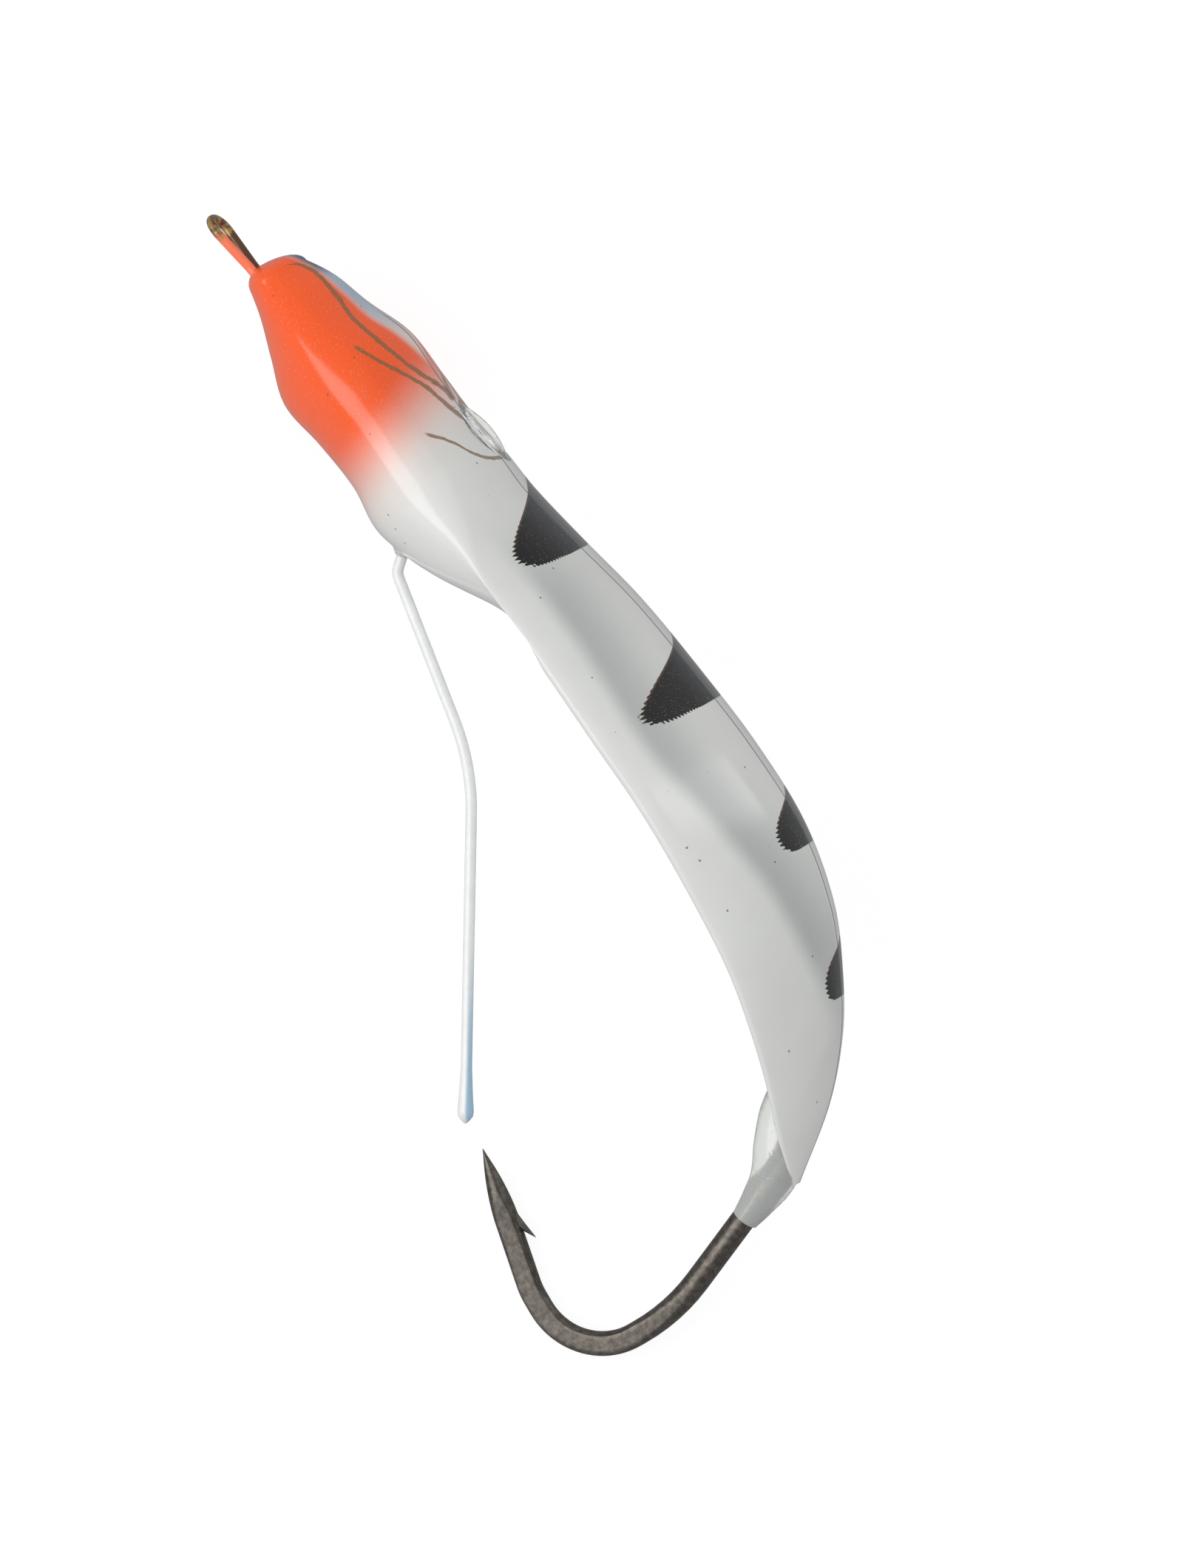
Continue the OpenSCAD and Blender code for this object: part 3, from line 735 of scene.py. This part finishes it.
def hookSteel():
    f = Finish("hookSteel", metallic=0.85)
    spot = f.place()
    mottled = f.noise(spot, hook["mottle"], 4, 0.65)
    scratches = f.noise(spot, hook["scratch"], 3, 0.6, (0.3, 1, 1))
    pits = f.noise(spot, hook["pit"], 2)
    colour = f.mix(mottled.over(0.3, 0.8), hook["dark"], hook["worn"])
    colour = f.mix(scratches.over(0.62, 0.8) * 0.3, colour, hook["crust"])
    f.feed(
        baseColor=colour, roughness=0.3 + mottled * 0.15,
        normal=f.bump(scratches * 0.4 + pits * 0.4, 0.02, 0.3),
    )
    return f.material


finishPiece(makeHook(), "lure", "hook_steel", hookSteel(), "hook")
print("hook bent, forged and ground")


# the clear resin round the shank
resin = {
    # step, place past the tail, height, radius
    "rows": [
        (0, -7.2, 3.8, 1.1), (1, -5.2, 2.2, 1.8), (2, -3.2, 0.8, 2.1), (3, -1.4, -1, 1.8),
        (4, -0.4, -2.9, 1.4), (5, 0.35, -4.7, 1.04),
    ],
    "steps": 40, "sides": 32, "sharp": 50, "cloud": 0.7, "bubbles": 1.6, "tint": (0.88, 0.93, 0.91),
    "milk": (0.95, 0.94, 0.88),
}


def makeResin():
    points, radii = [], []
    for k in range(resin["steps"] + 1):
        u = (len(resin["rows"]) - 1) * k / resin["steps"]
        points.append((body["length"] + smoothRow(resin["rows"], u, 1), smoothRow(resin["rows"], u, 2), 0))
        radii.append(smoothRow(resin["rows"], u, 3))
    obj = wireAlong("resinFillet", points, radii, resin["sides"])
    smoothShade(obj, resin["sharp"])
    return layDown(obj)


def resinClear():
    f = Finish("clearResin", transmissionWeight=0.6, ior=1.42, coatWeight=0.5, coatRoughness=0.06)
    spot = f.place()
    cloud = f.noise(spot, resin["cloud"], 3, 0.6)
    bubbles = f.add("ShaderNodeTexVoronoi", {}, {"Vector": spot, "Scale": resin["bubbles"]})
    f.feed(
        baseColor=f.mix(cloud.over(0.35, 0.7), resin["tint"], resin["milk"]),
        roughness=0.12 + cloud * 0.2,
        normal=f.bump(cloud * 1.2 + bubbles.under(0.1, 0.3) * 0.4, 0.15, 0.35),
    )
    return f.material


resinFinish = resinClear()
finishPiece(makeResin(), "lure", "clear_resin", resinFinish, "tail_potting")
print("resin cast")


# the line tie
tie = {
    "radius": 0.36, "loop": 4.9, "width": 3.1, "roundness": 0.37, "neck": 0.55, "throat": -0.3,
    "throatRadius": 1.2, "foot": 1.8, "footRadius": 0.7, "leg": 6, "height": -0.2, "droop": 9.5,
    "brass": (0.52, 0.33, 0.12), "bronze": (0.17, 0.085, 0.045), "overspray": (1.0, 0.20, 0.09),
    "sprayFrom": -3.6, "sprayFade": 0.6, "sprayWander": 2.4, "patch": 1.8, "fine": 9, "sides": 24,
    "sharp": 50,
}


def makeTie():
    half = [
        (tie["leg"], tie["foot"], 0), (tie["leg"], tie["neck"], tie["footRadius"]),
        (tie["throat"], tie["neck"], tie["throatRadius"]),
        (-tie["loop"], tie["width"] / 2, tie["width"] * tie["roundness"]),
    ]
    path = roundedPath(half + [(x, -z, r) for x, z, r in reversed(half)], 6)
    droop = math.radians(tie["droop"])
    points = [(p.x * math.cos(droop), tie["height"] + p.x * math.sin(droop), p.y) for p in path]
    obj = wireAlong("lineTie", points, [tie["radius"]] * len(points), tie["sides"])
    smoothShade(obj, tie["sharp"])
    return layDown(obj)


def tieBrass():
    f = Finish("tieBrass", coatWeight=0.4, coatRoughness=0.1)
    spot = f.place()
    s, _, z = f.parts(spot)
    patches = f.noise(spot, tie["patch"], 3, 0.6)
    fine = f.noise(spot, tie["fine"], 2)
    near = z.over(-0.1, 0.25)
    wandering = s + (patches - 0.5) * tie["sprayWander"]
    reached = wandering.over(tie["sprayFrom"], tie["sprayFrom"] + tie["sprayFade"])
    sprayed = near * reached
    colour = f.mix(patches.over(0.42, 0.6), tie["brass"], tie["bronze"])
    colour = f.mix((1 - near) * reached, colour, tie["bronze"])
    colour = f.mix(sprayed, colour, tie["overspray"])
    f.feed(
        baseColor=colour, metallic=0.6 - sprayed * 0.6, roughness=0.3 + fine * 0.15,
        normal=f.bump(patches + fine * 0.3, 0.06, 0.4),
    )
    return f.material


finishPiece(makeTie(), "lure", "tie_brass", tieBrass(), "line_tie")
print("line tie bent")


# the weed guard
guard.update({
    "root": 1.0, "bead": [(-4, 1), (-1.8, 1.25), (-0.6, 1.45), (-0.25, 1.35), (0, 0.95), (0.3, 0.25)],
    "rootSteps": 12, "collarRadius": 1.25, "collarDepth": 1.0, "collarLip": 0.1, "collarBevel": 0.12,
    # the blue values below set a painted reflection on one side of the guard's tip
    "flexHalf": 0.6, "reflectionFrom": 12, "reflectionFull": 3, "light": (0.86, 0.87, 0.86),
    "sides": 24, "sharp": 60, "collarSides": 40, "collarSharp": 50, "ripple": 1.2, "nick": 4.5,
    "milk": (0.82, 0.83, 0.82), "blue": (0.16, 0.42, 0.66), "grime": (0.42, 0.43, 0.44),
})


def makeGuard():
    start = Vector(guard["exit"])
    knee = start + guardOut * guard["knee"]
    slope = math.radians(guard["slope"])
    turnAt = knee + Vector((math.cos(slope), math.sin(slope))) * guard["run"]
    tip = Vector(guard["tip"])
    last = (tip - turnAt).normalized()
    guard["slopeAtTip"] = math.atan2(last.y, last.x)
    root = start - guardOut * guard["root"]
    corners = [(*root, 0), (*knee, guard["kneeRadius"]), (*turnAt, guard["turnRadius"]), (*tip, 0)]
    path = roundedPath(corners, 2)[:-1]
    steps = guard["rootSteps"]
    first = [root + (path[1] - root) * k / steps for k in range(steps)]
    path = first + path[1:]
    radii = [guard["radius"]] * len(path)
    path += [tip + last * back for back, _ in guard["bead"]]
    radii += [guard["radius"] * swell for _, swell in guard["bead"]]
    obj = wireAlong("guardWire", [(*p, 0) for p in path], radii, guard["sides"])
    smoothShade(obj, guard["sharp"])
    return layDown(obj)


def guardNylon():
    f = Finish("guardNylon", coatWeight=0.6, coatRoughness=0.08, ior=1.5)
    spot = f.place()
    s, k, _ = f.parts(spot)
    ripple = f.noise(spot, guard["ripple"], 3)
    nicks = f.noise(spot, guard["nick"], 2)
    colour = f.mix(ripple.over(0.4, 0.7), guard["milk"], guard["light"])
    colour = f.mix(nicks.over(0.72, 0.8) * 0.35, colour, guard["grime"])
    # painted reflection: a blue streak along one side of the guard, growing towards the tip
    tipX, tipY = guard["tip"]
    angle = guard["slopeAtTip"]
    off = (k - tipY) * math.cos(angle) - (s - tipX) * math.sin(angle)
    tipBlueReflection = s.over(tipX - guard["reflectionFrom"], tipX - guard["reflectionFull"]) * off.over(0.05, 0.3)
    colour = f.mix(tipBlueReflection * 0.7, colour, guard["blue"])
    f.feed(
        baseColor=colour, roughness=0.22 + nicks * 0.15,
        normal=f.bump(ripple + nicks * 0.4, 0.05, 0.5),
    )
    return f.material


guardWire = finishPiece(makeGuard(), None, "guard_nylon", guardNylon(), "guard_coating")
flexStart, flexEnd = (laid @ ((pivot + guardOut * way * guard["flexHalf"]).to_3d() * mm) for way in (-1, 1))
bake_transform(guardWire)


def makeCollar():  # the bead of glue where the guard leaves the belly
    clearSelection()
    top = guard["radius"] + guard["collarLip"]
    bpy.ops.mesh.primitive_cone_add(
        vertices=guard["collarSides"], radius1=guard["collarRadius"] * mm, radius2=top * mm,
        depth=guard["collarDepth"] * mm,
    )
    obj = bpy.context.object
    obj.name = "guardCollar"
    applyModifier(obj, "BEVEL", width=guard["collarBevel"] * mm, segments=3, limit_method="ANGLE")
    angle = math.radians(guard["exitAngle"])
    middle = Vector(guard["exit"]).to_3d() * mm
    facing = Matrix.Rotation(angle, 4, "Z") @ Matrix.Rotation(math.pi / 2, 4, "Y")
    obj.data.transform(Matrix.Translation(middle) @ facing)
    smoothShade(obj, guard["collarSharp"])
    return layDown(obj)


finishPiece(makeCollar(), "lure", "clear_resin", resinFinish, "guard_root")
print("weed guard set")


# what stays as it was drawn
def plainMetal(name, light, dark, scale):
    f = Finish(name, metallic=1.0)
    spot = f.place()
    drawnMarks = f.noise(spot, scale, 3, 0.6, (0.15, 1, 1))
    f.feed(
        baseColor=f.mix(drawnMarks.over(0.35, 0.7), light, dark), roughness=0.3 + drawnMarks * 0.25,
        normal=f.bump(drawnMarks, 0.02, 0.3),
    )
    return f.material


def eyeGold():
    f = Finish("eyeGold", metallic=0.6, coatWeight=1.0, coatRoughness=0.05)
    spot = f.place()
    s, _, z = f.parts(spot)
    off = ((s - eye["at"]) ** 2 + (z + eye["beside"]) ** 2) ** 0.5
    rays = f.noise(spot, 3.5, 3)
    colour = f.mix(off.over(eye["irisRadius"] - 0.1, eye["irisRadius"] + 0.1), eye["gold"], eye["silver"])
    colour = f.mix(rays.over(0.45, 0.7) * 0.5, colour, paint["ink"])
    colour = f.mix(off.under(eye["pupilRadius"] - 0.05, eye["pupilRadius"] + 0.05), colour, eye["pupil"])
    f.feed(baseColor=colour, roughness=0.25 + rays * 0.2, normal=f.bump(rays, 0.02, 0.3))
    return f.material


def eyeClear():
    f = Finish("eyeClear", transmissionWeight=0.9, ior=1.2, roughness=0.04)
    haze = f.noise(f.place(), 0.6, 2)
    f.feed(baseColor=f.mix(haze, (0.96, 0.97, 0.97), (0.9, 0.93, 0.93)), normal=f.bump(haze, 0.03, 0.2))
    return f.material


kept = {
    "ballast": plainMetal("ballastBrass", (0.62, 0.43, 0.16), (0.40, 0.26, 0.09), 1.5),
    "guard_core": plainMetal("coreSteel", (0.45, 0.45, 0.46), (0.26, 0.26, 0.27), 3.0),
    "eye_disc": eyeGold(),
    "eye_lens": eyeClear(),
}
for name, material in kept.items():
    node = frame["nodes"][name]
    node.data.materials.clear()
    node.data.materials.append(material)
print("CAD nodes finished")

clearSelection()
